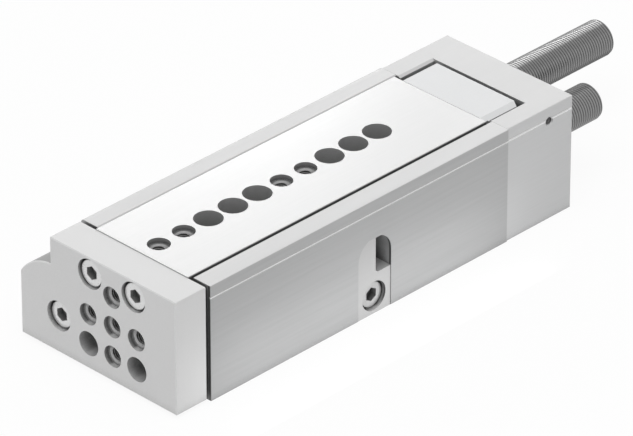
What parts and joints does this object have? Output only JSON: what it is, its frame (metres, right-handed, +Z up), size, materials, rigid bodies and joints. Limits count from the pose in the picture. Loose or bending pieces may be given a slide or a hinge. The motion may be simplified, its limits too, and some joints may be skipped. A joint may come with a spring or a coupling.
{
  "type": "pneumatic mini slide",
  "caption": "Pneumatic linear slide: a ball guided table driven out of a block housing, with a drilled front plate, adjustable stop sleeves and a built-in cylinder.",
  "frame": {"origin": "on the base face, midway along the housing, below the row of holes in the slide", "axes": "+X the way the slide advances, +Y the side with the stop block screw, +Z up from the base"},
  "size_m": [0.2202, 0.0663, 0.0393],
  "materials": {
    "housing": "anodised, fine streaks along the extrusion",
    "housing_block": "anodised, milled",
    "slide": "ground, bright",
    "yoke": "anodised, matt",
    "plate": "anodised, matt",
    "guide_steel": "ground and hardened",
    "balls": "polished",
    "cage": "stamped",
    "screws": "bright zinc",
    "sleeves": "dark, oiled thread",
    "buffers": "black polyurethane",
    "stop_steel": "hardened",
    "rod": "hard chromed",
    "piston": "turned",
    "seals": "black nitrile",
    "magnet": "plastic bonded ferrite",
    "guide_band": "filled PTFE",
    "caps": "turned",
    "bush": "sintered bronze",
    "spring_steel": "phosphated"
  },
  "bodies": {
    "housing": {"housing_profile": "housing", "rear_block": "housing_block", "guide_rail_left": "guide_steel", "guide_rail_right": "guide_steel", "stop_block_screw": "screws", "rear_block_screws": "screws", "retract_lock_nut": "sleeves", "stop_block": "stop_steel", "cylinder_front_cap": "caps", "cylinder_rear_cap": "caps", "cap_o_rings": "seals", "rod_seal": "seals", "rod_bush": "bush", "retaining_ring": "spring_steel"},
    "slide": {"slide_table": "slide", "stop_plate": "plate", "stop_plate_screws": "screws", "yoke_plate": "yoke", "yoke_screws": "screws", "rod_screw": "screws", "piston_rod": "rod", "piston": "piston", "piston_seals": "seals", "piston_magnet": "magnet", "piston_guide_band": "guide_band", "piston_nut": "screws"},
    "cage_left": {"ball_cage_left": "cage", "balls_left": "balls"},
    "cage_right": {"ball_cage_right": "cage", "balls_right": "balls"},
    "retract_stop": {"retract_stop_sleeve": "sleeves", "retract_buffer": "buffers"},
    "advance_stop": {"advance_stop_sleeve": "sleeves", "advance_buffer": "buffers"}
  },
  "joints": [
    {"name": "slide_stroke", "type": "slide", "parent": "housing", "child": "slide", "axis": [1, 0, 0], "range_m": [0, 0.05]},
    {"name": "cage_left_travel", "type": "slide", "parent": "housing", "child": "cage_left", "axis": [1, 0, 0], "range_m": [0, 0.025]},
    {"name": "cage_right_travel", "type": "slide", "parent": "housing", "child": "cage_right", "axis": [1, 0, 0], "range_m": [0, 0.025]},
    {"name": "retract_stop_adjust", "type": "slide", "parent": "housing", "child": "retract_stop", "axis": [1, 0, 0], "range_m": [-0.01, 0]},
    {"name": "advance_stop_adjust", "type": "slide", "parent": "slide", "child": "advance_stop", "axis": [1, 0, 0], "range_m": [-0.01, 0]}
  ],
  "couplings": [
    {"joint": "cage_left_travel", "follows": "slide_stroke", "ratio": 0.5},
    {"joint": "cage_right_travel", "follows": "slide_stroke", "ratio": 0.5}
  ]
}
